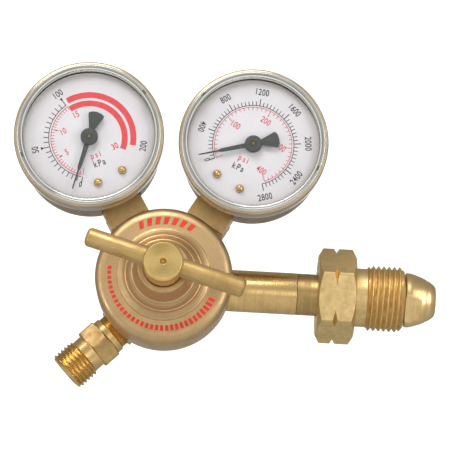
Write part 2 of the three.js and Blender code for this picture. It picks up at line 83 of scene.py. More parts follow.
FRONT = placed((1, 0, 0), (0, -1, 0))


def gauge_place(side):
    """X to the dial's right, Y up the dial, Z forwards."""
    a = math.radians(GAUGE_DEG[side])
    right = (math.sin(a), 0, -math.cos(a))
    at = (GAUGE_DISTANCE[side] * math.cos(a), 0, GAUGE_DISTANCE[side] * math.sin(a))
    return placed(right, (0, -1, 0), at)


# ---- Meshes ----------------------------------------------------------------------------
def piece(name, verts, faces, place, material, body="regulator", nodes=(), slot=None, sharp=32):
    mesh = bpy.data.meshes.new(name)
    mesh.from_pydata([tuple(float(c) * MM for c in v) for v in verts], [], faces)
    bm = bmesh.new()
    bm.from_mesh(mesh)
    bmesh.ops.remove_doubles(bm, verts=bm.verts, dist=1e-7)
    bmesh.ops.dissolve_degenerate(bm, edges=bm.edges, dist=1e-7)
    bmesh.ops.recalc_face_normals(bm, faces=bm.faces)
    bm.to_mesh(mesh)
    bm.free()
    mesh.shade_smooth()
    mesh.set_sharp_from_angle(angle=math.radians(sharp))
    mesh.materials.append(material)
    thing = bpy.data.objects.new(name, mesh)
    bpy.context.scene.collection.objects.link(thing)
    thing.matrix_world = place
    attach(thing, body)
    if nodes:
        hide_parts(*nodes)
    return thing


def revolved(stations, columns=COLUMNS):
    """Vertices and faces from stations of (radius, height), each a number or one per column."""
    turn = np.linspace(0, 2 * np.pi, columns, endpoint=False)
    rings, verts = [], []
    for r, h in stations:
        r, h = np.broadcast_to(r, columns), np.broadcast_to(h, columns)
        if r.max() < 1e-6:
            rings.append([len(verts)] * columns)
            verts.append((0, 0, h[0]))
        else:
            rings.append(range(len(verts), len(verts) + columns))
            verts.extend(zip(r * np.cos(turn), r * np.sin(turn), h))
    closed = np.max(stations[0][0]) > 1e-6
    pairs = list(zip(rings, rings[1:])) + ([(rings[-1], rings[0])] if closed else [])
    faces = []
    for a, b in pairs:
        for i in range(columns):
            j = (i + 1) % columns
            face = list(dict.fromkeys((a[i], a[j], b[j], b[i])))
            if len(face) > 2:
                faces.append(face)
    return verts, faces


def eased(points, size=0.25, steps=3):
    """A profile with its corners rounded, so that every edge catches the light."""
    points = [np.array(p, float) for p in points]
    out = [points[0]]
    for before, at, after in zip(points, points[1:], points[2:]):
        back, on = before - at, after - at
        lengths = np.hypot(*back), np.hypot(*on)
        if min(lengths) < 1e-6 or abs(back @ on) > 0.995 * lengths[0] * lengths[1]:
            out.append(at)
            continue
        reach = min(size, 0.4 * lengths[0], 0.4 * lengths[1])
        start, end = at + back / lengths[0] * reach, at + on / lengths[1] * reach
        for s in np.linspace(0, 1, steps + 1):
            out.append((1 - s) ** 2 * start + 2 * s * (1 - s) * at + s**2 * end)
    out.append(points[-1])
    return [tuple(p) for p in out]


def lathe(name, profile, place, material, size=0.25, columns=COLUMNS, **kind):
    return piece(name, *revolved(eased(profile, size), columns), place, material, **kind)


def arc(radius, start, end, steps, centre=(0, 0)):
    turn = np.radians(np.linspace(start, end, steps + 1))
    return [(centre[0] + radius * math.cos(a), centre[1] + radius * math.sin(a)) for a in turn]


def box(x0, x1, y0, y1, z0, z1):
    verts = [(x, y, z) for x in (x0, x1) for y in (y0, y1) for z in (z0, z1)]
    faces = [(0, 1, 3, 2), (4, 6, 7, 5), (0, 4, 5, 1), (2, 3, 7, 6), (0, 2, 6, 4), (1, 5, 7, 3)]
    return verts, faces


def prism(outline, back, front):
    n = len(outline)
    verts = [(x, y, z) for z in (back, front) for x, y in outline]
    sides = [(i, (i + 1) % n, n + (i + 1) % n, n + i) for i in range(n)]
    return verts, [tuple(range(n)), tuple(range(n, 2 * n)), *sides]


def gathered(parts):
    """Several (verts, faces) as one."""
    verts, faces = [], []
    for v, f in parts:
        faces += [tuple(i + len(verts) for i in face) for face in f]
        verts += list(v)
    return verts, faces


def boolean(target, tool, operation):
    cut = target.modifiers.new("cut", "BOOLEAN")
    cut.object = tool
    cut.operation = operation
    cut.solver = "EXACT"
    bpy.context.view_layer.update()
    graph = bpy.context.evaluated_depsgraph_get()
    mesh = bpy.data.meshes.new_from_object(target.evaluated_get(graph))
    target.modifiers.remove(cut)
    target.data = mesh
    bpy.data.objects.remove(tool)


def refinished(thing, material, chosen):
    """A second finish for the faces whose radius and height are chosen."""
    thing.data.materials.append(material)
    for face in thing.data.polygons:
        x, y, z = face.center / MM
        if chosen(math.hypot(x, y), z):
            face.material_index = 1


def bevelled(thing, width=0.25, segments=3, angle=35):
    bevel = thing.modifiers.new("edges", "BEVEL")
    bevel.width = width * MM
    bevel.segments = segments
    bevel.limit_method = "ANGLE"
    bevel.angle_limit = math.radians(angle)
    bevel.harden_normals = True
    return thing


# ---- Threads and hexagons ---------------------------------------------------------------
TURN = np.linspace(0, 2 * np.pi, COLUMNS, endpoint=False)


def thread(major, pitch, start, end, core, rows_per_pitch=12):
    """Stations of a left-hand thread, with a chamfer down to the core at each end."""
    depth = 0.6 * pitch
    stations = []
    rows = int((end - start) / pitch * rows_per_pitch)
    for h in np.linspace(start, end, rows + 1):
        place = (h / pitch + LEFT_HAND * TURN / (2 * np.pi)) % 1
        crest = np.clip(1.25 * (1 - np.abs(2 * place - 1)) - 0.08, 0, 1)
        radius = major - depth + depth * crest
        limit = core + 1.3 * min(h - start, end - h)
        stations.append((np.minimum(radius, np.maximum(limit, core)), h))
    return stations


def hexagon(across_flats, turn_deg):
    corner = across_flats / math.sqrt(3)
    phase = (TURN - math.radians(turn_deg)) % (math.pi / 3) - math.pi / 6
    return np.minimum(across_flats / 2 / np.cos(phase), corner - 0.12)


def hex_stations(across_flats, turn_deg, back, end, chamfer, groove=None):
    shape = hexagon(across_flats, turn_deg)
    corner, flat = across_flats / math.sqrt(3), across_flats / 2 - 0.35
    rise = chamfer * (shape - flat) / (corner - flat)
    stations = [(flat - 0.4, back), (flat, back + 0.02), (shape, back + rise), (shape, back + rise + 0.15)]
    if groove:
        at, half, depth = groove
        reach = np.maximum(half * (shape - (corner - depth)) / depth, 0.02)
        bottom = np.minimum(shape, corner - depth)
        stations += [(shape, at - reach), (bottom, at - 0.01), (bottom, at + 0.01), (shape, at + reach)]
    stations += [(shape, end - rise - 0.15), (shape, end - rise), (flat, end - 0.02), (flat - 0.4, end)]
    return stations


# ---- Materials --------------------------------------------------------------------------
class Paint:
    """A node material under construction. Lengths are in millimetres of the piece's own axes."""

    def __init__(self, name):
        self.material = bpy.data.materials.new(name)
        self.material.use_nodes = True
        self.tree = self.material.node_tree
        self.shader = self.tree.nodes["Principled BSDF"]
        self.place = self.add("ShaderNodeTexCoord").outputs["Object"]

    def add(self, kind, inputs=None, **settings):
        node = self.tree.nodes.new(kind)
        for key, value in settings.items():
            setattr(node, key, value)
        for key, value in (inputs or {}).items():
            self.put(node, key, value)
        return node

    def put(self, node, key, value):
        if isinstance(value, bpy.types.NodeSocket):
            self.tree.links.new(value, node.inputs[key])
        else:
            node.inputs[key].default_value = value

    def math(self, operation, a, b=0.0, clamp=False):
        node = self.add("ShaderNodeMath", {0: a, 1: b}, operation=operation, use_clamp=clamp)
        return node.outputs[0]

    def stretched(self, x, y, z):
        node = self.add("ShaderNodeVectorMath", {0: self.place, 1: (x, y, z)}, operation="MULTIPLY")
        return node.outputs[0]

    def radius(self):
        flat = self.stretched(1000, 1000, 0)
        return self.add("ShaderNodeVectorMath", {0: flat}, operation="LENGTH").outputs["Value"]

    def lathe_lines(self):
        """A coordinate that only changes along and across a turned piece."""
        height = self.add("ShaderNodeSeparateXYZ", {0: self.place}).outputs[2]
        height = self.math("MULTIPLY", height, 1000.0)
        return self.add("ShaderNodeCombineXYZ", {0: self.radius(), 1: height}).outputs[0]

    def noise(self, vector, scale, detail=3.0, roughness=0.55):
        inputs = {"Vector": vector, "Scale": scale, "Detail": detail, "Roughness": roughness}
        return self.add("ShaderNodeTexNoise", inputs).outputs["Fac"]

    def ramp(self, value, *stops):
        node = self.add("ShaderNodeValToRGB", {"Fac": value})
        elements = node.color_ramp.elements
        while len(elements) < len(stops):
            elements.new(0.5)
        for element, (position, colour) in zip(elements, stops):
            element.position = position
            element.color = (*colour, 1)
        return node.outputs["Color"]

    def level(self, value, low, high, start=0.3, end=0.7):
        inputs = {"Value": value, "From Min": start, "From Max": end, "To Min": low, "To Max": high}
        return self.add("ShaderNodeMapRange", inputs).outputs[0]

    def mix(self, share, a, b, blend="MIX"):
        node = self.add("ShaderNodeMix", data_type="RGBA", blend_type=blend)
        self.put(node, 0, share)
        for key, value in ((6, a), (7, b)):
            self.put(node, key, value if isinstance(value, bpy.types.NodeSocket) else (*value, 1))
        return node.outputs[2]

    def bump(self, height, distance, strength=1.0, normal=None):
        inputs = {"Height": height, "Distance": distance * MM, "Strength": strength}
        if normal:
            inputs["Normal"] = normal
        return self.add("ShaderNodeBump", inputs).outputs[0]

    def finish(self, **values):
        for key, value in values.items():
            self.put(self.shader, key.replace("_", " "), value)
        return self.material


def metal(name, light, dark, rough, lines=0.5, grain="turned", anisotropic=0.0, depth=0.006):
    """A worked metal: tool lines, blotches of tarnish, small specks and uneven gloss."""
    paint = Paint(name)
    if grain == "turned":
        line_place = paint.lathe_lines()
        fine = paint.noise(line_place, 6.0, 4.0)
        broad = paint.noise(line_place, 1.1, 2.0)
    elif grain == "drawn":
        fine = paint.noise(paint.stretched(6000, 6000, 60), 1.0, 4.0)
        broad = paint.noise(paint.stretched(1300, 1300, 25), 1.0, 3.0)
    else:
        fine = paint.noise(paint.stretched(1000, 1000, 1000), 5.0, 4.0)
        broad = paint.noise(paint.stretched(1000, 1000, 1000), 0.6, 3.0)
    blotch = paint.noise(paint.stretched(1000, 1000, 1000), 0.22, 4.0)
    speck = paint.noise(paint.stretched(1000, 1000, 1000), 2.6, 2.0)
    tone = paint.math("ADD", paint.math("MULTIPLY", fine, lines), paint.math("MULTIPLY", broad, 1 - lines))
    tone = paint.math("ADD", paint.math("MULTIPLY", tone, 0.6), paint.math("MULTIPLY", blotch, 0.4))
    colour = paint.ramp(tone, (0.36, dark), (0.62, light))
    colour = paint.mix(paint.level(speck, 0.35, 0.0, 0.24, 0.31), colour, tuple(c * 0.35 for c in dark))
    rough_map = paint.level(tone, rough * 1.35, rough * 0.75, 0.38, 0.62)
    normal = paint.bump(fine, depth, 0.6)
    normal = paint.bump(blotch, 0.05, 0.25, normal)
    values = dict(Base_Color=colour, Metallic=1.0, Roughness=rough_map, Normal=normal)
    if anisotropic:
        tangent = paint.add("ShaderNodeTangent", direction_type="RADIAL", axis="Z")
        values.update(Anisotropic=anisotropic, Tangent=tangent.outputs[0])
    return paint.finish(**values)


BRASS, BRASS_DARK = (0.84, 0.59, 0.26), (0.60, 0.40, 0.15)
machined = metal("machined_brass", BRASS, BRASS_DARK, 0.25, anisotropic=0.35)
milled = metal("milled_brass", (0.80, 0.54, 0.24), (0.56, 0.36, 0.14), 0.38, grain="cast", depth=0.02)
drawn = metal("drawn_brass", (0.68, 0.47, 0.20), (0.46, 0.31, 0.115), 0.52, lines=0.4, grain="drawn")
bonnet_gold = metal("bonnet_gold", (0.66, 0.46, 0.24), (0.52, 0.35, 0.17), 0.42, lines=0.7, depth=0.003)
case_gold = metal("case_gold", (0.43, 0.30, 0.155), (0.32, 0.22, 0.11), 0.34, lines=0.4, depth=0.003)
shank_brass = metal("shank_brass", (0.56, 0.39, 0.17), (0.40, 0.27, 0.105), 0.42)
nose_brass = metal("nose_brass", (0.92, 0.67, 0.33), (0.70, 0.48, 0.20), 0.32)
hex_brass = metal("hex_brass", (0.66, 0.45, 0.20), (0.48, 0.32, 0.13), 0.50, grain="cast", depth=0.02)
steel = metal("steel", (0.6, 0.6, 0.58), (0.4, 0.4, 0.39), 0.3)


def plain(name, light, dark, rough, scale=0.8, metallic=0.0, depth=0.01, **values):
    paint = Paint(name)
    place = paint.stretched(1000, 1000, 1000)
    broad, fine = paint.noise(place, scale * 0.2), paint.noise(place, scale * 6)
    colour = paint.ramp(broad, (0.35, dark), (0.65, light))
    roughness = paint.level(fine, rough * 0.85, rough * 1.15)
    normal = paint.bump(fine, depth, 0.3)
    return paint.finish(Base_Color=colour, Roughness=roughness, Normal=normal, Metallic=metallic, **values)


rubber = plain("black_rubber", (0.03, 0.03, 0.03), (0.015, 0.015, 0.015), 0.7)
nylon = plain("nylon", (0.82, 0.79, 0.70), (0.72, 0.69, 0.60), 0.5)
dial_white = plain("dial_white", (0.76, 0.74, 0.765), (0.73, 0.71, 0.735), 0.45, depth=0.001)
pointer_black = plain("pointer_black", (0.055, 0.06, 0.055), (0.035, 0.04, 0.036), 0.42, depth=0.004)
ink_black = plain("ink_black", (0.03, 0.03, 0.03), (0.015, 0.015, 0.015), 0.5, scale=3)
ink_red = plain("ink_red", (0.80, 0.065, 0.075), (0.72, 0.05, 0.06), 0.5, scale=3)
ink_red_fine = plain("ink_red_fine", (0.72, 0.06, 0.09), (0.62, 0.045, 0.07), 0.5, scale=3)
print_red = plain("print_red", (0.80, 0.045, 0.02), (0.66, 0.03, 0.012), 0.45, scale=2)


def clear_plastic():
    """The window: see-through, with painted shade that darkens it where it turns into the rim, and a gloss.
    """
    paint = Paint("clear_lens")
    # Painted shade: the see-through colour darkens by radius towards the rim.
    painted_edge_shade = paint.ramp(
        paint.level(paint.radius(), 0.0, 1.0, 19.6, 22.4),
        (0.0, (0.995, 0.995, 0.995)), (0.55, (0.97, 0.97, 0.96)), (0.85, (0.88, 0.88, 0.86)),
        (1.0, (0.68, 0.68, 0.65)),
    )
    through = paint.add("ShaderNodeBsdfTransparent", {"Color": painted_edge_shade})
    haze = paint.noise(paint.stretched(1000, 1000, 1000), 0.3, 2.0)
    gloss = paint.add("ShaderNodeBsdfGlossy", {"Roughness": paint.level(haze, 0.03, 0.07)})
    # The same from both sides, so that the dial stays in sight from a steep angle.
    facing = paint.add("ShaderNodeLayerWeight", {"Blend": 0.5}).outputs["Facing"]
    share = paint.math("ADD", paint.math("MULTIPLY", paint.math("POWER", facing, 5.0), 0.75), 0.035)
    both = paint.add("ShaderNodeMixShader", {0: share, 1: through.outputs[0], 2: gloss.outputs[0]})
    output = paint.tree.nodes["Material Output"]
    paint.tree.links.new(both.outputs[0], output.inputs["Surface"])
    return paint.material


def rim_plastic():
    """The rim of the lens: clear plastic seen edge on, drawn opaque, with painted highlights, painted shade
    in its dark rings and the gap, and the gold lip painted in as if seen through it.
    """
    paint = Paint("lens_rim")
    gold, painted_highlight, painted_gap_shade = (0.48, 0.37, 0.22), (0.86, 0.86, 0.84), (0.30, 0.29, 0.27)
    # Rings by radius: the dark rings and the gap ring are painted shade, the two brightest rings are painted
    # highlights, and the gold is the case lip painted in as if seen through the plastic.
    colour = paint.ramp(
        paint.level(paint.radius(), 0.0, 1.0, 22.2, 25.2),
        (0.0, (0.07, 0.07, 0.06)), (0.08, (0.12, 0.12, 0.11)), (0.15, painted_highlight), (0.25, (0.60, 0.60, 0.58)),
        (0.31, (0.13, 0.13, 0.12)), (0.40, painted_gap_shade), (0.56, (0.42, 0.41, 0.38)),
        (0.68, (0.80, 0.79, 0.75)), (0.76, gold), (1.0, (0.34, 0.26, 0.15)),
    )
    wave = paint.noise(paint.stretched(1000, 1000, 1000), 0.12, 2.0)
    colour = paint.mix(paint.level(wave, 0.0, 0.3), colour, (0.58, 0.54, 0.46))
    return paint.finish(
        Base_Color=colour, Metallic=0.35, Roughness=paint.level(wave, 0.15, 0.3), Coat_Weight=0.4,
        Coat_Roughness=0.05,
    )


lens_clear, lens_rim = clear_plastic(), rim_plastic()

# ---- Finishes of the pieces that stay as they are ----------------------------------------
FINISH = {
    "machined_brass": machined, "drawn_brass": drawn, "bonnet_gold": bonnet_gold,
    "case_gold": case_gold, "steel": steel, "black_rubber": rubber, "nylon": nylon,
    "clear_lens": lens_clear, "dial_white": dial_white, "pointer_black": pointer_black,
}
for row in frame["record"]["subparts"]:
    mesh = frame["nodes"][row["node"]].data
    mesh.materials.clear()
    mesh.materials.append(FINISH[row["material_slot"]])


# ---- Body --------------------------------------------------------------------------------
def build_body():
    drum = [
        (0, -9.5), (11.2, -9.5), (12, -8.7), (12, -7.5), (19.2, -7.5), (20.3, -6.4), (20.3, 4.6),
        (23, 4.6), (23, 7.3), (20.8, 7.3), (20.8, 10), (16.5, 10), (16.5, 4),
        (6.2, 4), (6.2, -1.8), (3.2, -1.8), (3.2, -5.5), (0, -5.5),
    ]
    lathe("body_drum", drum, FRONT, machined, nodes=["regulator_body"], slot="machined_brass")
    arm = [(0, 10), (7.2, 10), (7.2, 45.6), (5.3, 45.6), (5.3, 34.2), (2.4, 34), (2.4, 12), (0, 12)]
    lathe("body_inlet_arm", arm, along(0), machined, slot="machined_brass")
    for side, degrees in GAUGE_DEG.items():
        boss = [(0, 12), (7.9, 12), (7.9, 23.2), (5.2, 23.2), (5.2, 17.4), (0, 17.4)]
        name = f"body_{side}_gauge_boss"
        lathe(name, boss, along(degrees, STEM_DEPTH), machined, slot="machined_brass")
    boss = [(0, 10), (7.1, 10), (7.1, 22.2), (6.3, 22.2), (6.3, 17.6), (0, 17.6)]
    lathe("body_outlet_boss", boss, along(OUTLET_DEG), machined, slot="machined_brass")


def bonnet_profile():
    rim = arc(3.5, 0, 90, 14, (19.6, 20.7))
    steps = [
        (15.7, 24.2), (15.5, 24.6), (15.2, 24.7), (14.2, 25.4), (13.3, 26.2), (13.1, 26.9),
        (12.6, 27.1), (12.2, 28.2), (11.6, 29.3), (11.1, 29.8), (10.9, 30.2), (10.4, 30.4),
        (10.1, 31.5), (9.7, 32.7), (9.35, 33.9), (9.05, 35.1), (8.75, 36.5), (8.35, 37.5),
    ]
    inside = [
        (6.8, 37.5), (6.72, 37.3), (6.72, 33), (6.5, 32.5), (6.5, 28.2), (9, 28.2), (9, 22.6), (14.6, 19.6),
        (16.5, 17.8), (16.5, 12.7), (21.1, 12.7),
    ]
    return [(21.1, 7.6), (22.6, 7.6), (23.1, 8.1), *rim, *steps, *inside]


def band(inner, outer, start, end, back, front, step=3.0):
    """A flat strip round an arc, between two angles counted clockwise from straight down."""
    steps = max(2, int(abs(end - start) / step))
    turn = [-90 - a for a in np.linspace(start, end, steps + 1)]
    verts, faces = [], []
    for a in turn:
        edges = [(r * math.cos(math.radians(a)), r * math.sin(math.radians(a))) for r in (inner, outer)]
        verts += [(*edge, depth) for depth in (back, front) for edge in edges]
    for i in range(0, 4 * steps, 4):
        corners = ((0, 1), (1, 3), (3, 2), (2, 0))
        faces += [(i + p, i + q, i + 4 + q, i + 4 + p) for p, q in corners]
    last = 4 * steps
    return verts, [*faces, (0, 2, 3, 1), (last, last + 1, last + 3, last + 2)]


def slanted(start, sweep, tall, middle, back, front):
    """A leaning bar: one block of a plain repeated pattern."""
    low, high = middle - tall / 2, middle + tall / 2
    lean = 2.2
    outline = [spot(low, start), spot(high, start + lean), spot(high, start + lean + sweep),
               spot(low, start + sweep)]
    return prism(outline, back, front)


def build_bonnet():
    lathe("bonnet_shell", bonnet_profile(), FRONT, bonnet_gold, size=0.18, columns=180,
          nodes=["bonnet"], slot="bonnet_gold")
    back, front = 24.18, 24.24
    marks = []
    # A plain ring of dashes that grow taller along the lower face.
    dashes, pitch, length, middle = 31, 5.3, 3.6, 18.2
    for i in range(dashes):
        start = 96 - i * pitch
        tall = 1.2 + 1.2 * i / dashes
        marks.append(band(middle - tall / 2, middle + tall / 2, start, start - length, back, front, 1.2))
    # A row of leaning bars at the top.
    for i in range(7):
        marks.append(slanted(149 + i * 9, 5.2, 2.6, 18.4, back, front))
    piece("bonnet_marks", *gathered(marks), FRONT, print_red, slot="bonnet_gold")


# ---- Adjusting screw and handle ------------------------------------------------------------
def build_handle():
    hub = [
        (0, 26.3), (2.2, 26.3), (3, 27.1), (3, 28.6), (6.2, 29.2), (6.2, 37), (6.65, 37.2),
        (6.65, 47.95), (6.1, 48.5), (1.15, 48.5), (0.8, 47.6), (0, 45.9),
    ]
    lathe("screw_hub", hub, FRONT, hub_brass(), size=0.12, body="handle", nodes=["adjusting_screw"],
          slot="drawn_brass")
    a = math.radians(T_BAR_TILT_DEG)
    along_bar, across_bar = Vector((math.cos(a), 0, math.sin(a))), Vector((-math.sin(a), 0, math.cos(a)))
    middle = along_bar * 0.6 + across_bar * 0.5 + Vector((0, -T_BAR_DEPTH, 0))
    bar_place = placed((0, -1, 0), along_bar, middle)
    bar = [(0, -27.2), (2.3, -27.2), (3.175, -26.3), (3.175, 26.3), (2.3, 27.2), (0, 27.2)]
    lathe("handle_bar", bar, bar_place, drawn, size=0.3, body="handle", nodes=["t_bar_handle"],
          slot="drawn_brass")


def hub_brass():
    """Facing marks of a lathe tool: close rings about the centre."""
    paint = Paint("hub_brass")
    place = paint.lathe_lines()
    rings = paint.add("ShaderNodeTexWave", {"Vector": place, "Scale": 0.9, "Distortion": 0.6, "Detail": 2.0})
    fine = paint.noise(place, 5.0, 4.0)
    blotch = paint.noise(paint.stretched(1000, 1000, 1000), 0.3, 4.0)
    colour = paint.ramp(paint.math("ADD", paint.math("MULTIPLY", fine, 0.6),
                                   paint.math("MULTIPLY", blotch, 0.4)),
                        (0.38, (0.66, 0.45, 0.15)), (0.62, (0.86, 0.63, 0.26)))
    height = paint.math("ADD", paint.math("MULTIPLY", rings.outputs["Fac"], 0.5), fine)
    tangent = paint.add("ShaderNodeTangent", direction_type="RADIAL", axis="Z")
    return paint.finish(Base_Color=colour, Metallic=1.0, Roughness=paint.level(fine, 0.36, 0.24),
                        Normal=paint.bump(height, 0.012, 0.5), Anisotropic=0.5,
                        Tangent=tangent.outputs[0])


# ---- Inlet ----------------------------------------------------------------------------------
def build_inlet():
    nut = [(7.5, 53.2), (8.0, 52.6)]
    nut += hex_stations(28.575, 10.9, 52.6, 65.5, 1.5, (58.6, 1.0, 1.6))
    nut += [(10.25, 65.5), (10.05, 65.7), (10.05, 69.0), (10.05, 69.4)]
    nut += thread(11.24, 1.814, 69.4, 82.0, 10.05)
    nut += [(9.8, 82.2), (7.8, 82.2), (7.5, 81.9)]
    piece("inlet_nut_left_hand", *revolved(nut), along(0), nut_brass(), body="inlet_nut",
          nodes=["inlet_nut"], slot="machined_brass")

    nose = eased([(7.15, 45.75), (7.15, 82.7), (9.1, 82.7), (9.4, 83.1)], 0.2)
    nose += eased([(9.4, 83.1), (9.35, 84.6), (8.75, 86.5), (8.1, 88.4), (7.4, 89.9), (7.25, 89.95),
                   (6.6, 91.4), (5.5, 92.8), (4.9, 93.2)], 0.5)
    flat = 7.9 / np.maximum(np.abs(np.cos(TURN - math.radians(122))), 0.05)
    stations = [(2.2, 60), (3.3, 59), (3.3, 34.6), (4.9, 34.6), (5.0, 45.5), (7.05, 45.65)]
    stations += [(np.minimum(r, flat) if 82.69 < h < 87.5 else r, h) for r, h in nose]
    stations += [(2.6, 93.2), (2.2, 92.8)]
    nipple = piece("inlet_nipple_nose", *revolved(stations), along(0), nose_brass,
                   nodes=["inlet_nipple"], slot="machined_brass")
    refinished(nipple, shank_brass, lambda r, h: h < 80)


def nut_brass():
    return metal("nut_brass", (0.80, 0.59, 0.28), (0.61, 0.44, 0.185), 0.44, lines=0.35, grain="cast",
                 depth=0.012)


# ---- Hose adapter -----------------------------------------------------------------------------
def build_outlet():
    stations = [(0, 18), (5.9, 18)]
    for i in range(11):
        stations += [(6.15, 21.4 + i * 0.29), (5.95, 21.4 + i * 0.29 + 0.14)]
    stations += [(6.45, 24.6), (6.6, 24.8), (6.6, 26.6), (6.45, 26.68)]
    stations += hex_stations(14.29, 83, 26.7, 33.1, 0.7)
    stations += [(6.35, 33.1), (6.2, 33.3), (6.2, 36.4)]
    stations += thread(7.1, 1.411, 36.4, 44.7, 6.2)
    stations += [(6.1, 44.8), (5.0, 44.8), (4.8, 44.6), (2.3, 42.4), (2.3, 17.5), (0, 17.5)]
    adapter = piece("hose_adapter_left_hand", *revolved(stations), along(OUTLET_DEG), machined,
                    nodes=["hose_adapter"], slot="machined_brass")
    refinished(adapter, hex_brass, lambda r, h: r > 6.6 and 26.6 < h < 33.2)


# ---- Gauges -------------------------------------------------------------------------------------
DIAL_FACE = 20.2
INK = (DIAL_FACE, DIAL_FACE + 0.04)
SCALE_START = 37
UNIT_TURN = {"low": -8, "high": 8}  # the unit words are turned a little back towards level
UNIT_AT = {"low": ((-1.0, -6.4), (-1.1, -9.5)), "high": ((0, -6.0), (0, -9.4))}


def ray(inner, outer, clockwise, wide):
    """A scale mark between two radii."""
    a = math.radians(-90 - clockwise)
    along_ray, side = np.array((math.cos(a), math.sin(a))), np.array((-math.sin(a), math.cos(a)))
    corners = [(inner, -1), (outer, -1), (outer, 1), (inner, 1)]
    return prism([tuple(along_ray * r + side * s * wide / 2) for r, s in corners], *INK)


def lettering(text, height, at, turn_deg, spacing=1.08):
    """Solid characters, centred, as (verts, faces) in dial millimetres."""
    curve = bpy.data.curves.new("characters", "FONT")
    curve.body = text
    curve.size = height * 1.4
    curve.align_x, curve.align_y = "CENTER", "CENTER"
    curve.extrude = 0.02
    curve.space_character = spacing
    curve.offset = 0.035
    thing = bpy.data.objects.new("characters", curve)
    bpy.context.scene.collection.objects.link(thing)
    bpy.context.view_layer.update()
    graph = bpy.context.evaluated_depsgraph_get()
    mesh = bpy.data.meshes.new_from_object(thing.evaluated_get(graph))
    turn = Matrix.Translation((*at, DIAL_FACE + 0.02)) @ Matrix.Rotation(math.radians(turn_deg), 4, "Z")
    narrow = Matrix.Diagonal((0.74, 1, 1, 1))
    verts = [tuple(turn @ narrow @ v.co) for v in mesh.vertices]
    faces = [tuple(p.vertices) for p in mesh.polygons]
    bpy.data.objects.remove(thing)
    return verts, faces


def spot(radius, clockwise):
    a = math.radians(-90 - clockwise)
    return radius * math.cos(a), radius * math.sin(a)


def numeral(text, height, radius, clockwise, upright=False):
    if upright:
        return lettering(text, height, spot(radius, clockwise), 0)
    outward = -90 - clockwise
    turn = outward - 90 if 90 < clockwise < 270 else outward + 90
    return lettering(text, height, spot(radius, clockwise), turn)


def wedge(radius, clockwise, size=0.75):
    """A small triangle that points at the scale."""
    x, y = spot(radius, clockwise)
    a = math.radians(-90 - clockwise)
    inward, side = np.array((-math.cos(a), -math.sin(a))), np.array((-math.sin(a), math.cos(a)))
    at = np.array((x, y))
    outline = [at + inward * size, at - inward * size * 0.6 + side * size * 0.7,
               at - inward * size * 0.6 - side * size * 0.7]
    return prism([tuple(p) for p in outline], *INK)


def low_scale():
    """0-30 psi inside, 0-200 kPa outside, with a red zone above half scale."""
    kpa = lambda value: SCALE_START + 1.35 * value
    psi = lambda value: SCALE_START + 9.35 * value
    black = [band(13.72, 13.95, 39, 173, *INK)]
    black += [ray(13.9, 16.4 if value % 50 == 0 else 15.6, kpa(value), 0.26) for value in range(0, 101, 5)]
    black += [numeral(str(v), 2.25, r, kpa(v)) for v, r in ((50, 18.7), (100, 18.6), (200, 18.6))]
    black += [numeral("0", 1.9, 16.6, 38), wedge(16.4, kpa(50)), wedge(16.4, kpa(100))]
    red = [band(13.0, 13.2, 39, 174, *INK)]
    red += [ray(13.1, 10.9 if value % 10 == 0 else 11.9, psi(value / 2), 0.21) for value in range(0, 30)]
    red += [numeral(str(v), 2.15, 9.2, psi(v), True) for v in (5, 10, 15, 30)]
    red += [wedge(11.5, psi(5), 0.5), wedge(11.5, psi(10), 0.5)]
    zone = [band(13.9, 15.95, 177, 308, *INK), band(11.0, 13.0, 174, 317, *INK)]
    return black, red, zone


def high_scale():
    """0-400 psi inside, 0-2800 kPa outside."""
    kpa = lambda value: SCALE_START + 0.099 * value
    psi = lambda value: SCALE_START + 0.682 * value
    black = [band(13.72, 13.95, SCALE_START, kpa(2800), *INK)]
    black += [
        ray(13.9, 16.3 if v % 400 == 0 else 15.3, kpa(v), 0.30 if v % 400 == 0 else 0.24)
        for v in range(0, 2801, 50)
    ]
    black += [numeral(str(v), 2.25, 18.6, kpa(v)) for v in range(400, 2801, 400)]
    black += [numeral("0", 1.9, 16.6, 38)]
    red = [band(13.1, 13.3, SCALE_START, psi(400), *INK)]
    red += [ray(13.2, 11.0 if v % 100 == 0 else 12.2, psi(v), 0.21) for v in range(0, 401, 10)]
    red += [numeral(str(v), 2.15, 9.3, psi(v), True) for v in (100, 200, 300, 400)]
    return black, red, []


def dial_domes(side, place):
    profile = [(0, 0)] + [(1.45, 0), (1.45, 0.15)] + arc(1.25, 10, 90, 7, (0, 0.1))[:-1] + [(0, 0.75)]
    for i, x in enumerate((-4.6, 4.6)):
        at = place @ Matrix.Translation((x * MM, -15.3 * MM, (DIAL_FACE + 0.3) * MM))
        lathe(f"{side}_dial_screw_head_{i + 1}", profile, at, machined, size=0.08, columns=40,
              nodes=[f"{side}_gauge_dial_screw_{i + 1}"], slot="machined_brass")


def build_stem(side, place):
    stem = piece(f"{side}_gauge_stem", *box(-7.15, 7.15, -29.6, -24.3, -3.6, 8.35), place, milled,
                 nodes=[f"{side}_gauge_socket"], slot="machined_brass")
    inner = piece("tool", *box(-7.15, 7.15, -24.4, -16.6, 0.9, 8.35), place, milled)
    boolean(stem, inner, "UNION")
    stem.data.shade_smooth()
    bevelled(stem, 0.35)
    shank = [(0, -36), (4.9, -36), (4.9, -29.4), (0, -29.4)]
    up = place @ Matrix.Translation((0, 0, STEM_DEPTH * MM)) @ Matrix.Rotation(-math.pi / 2, 4, "X")
    lathe(f"{side}_gauge_stem_thread", shank, up, machined, slot="machined_brass")


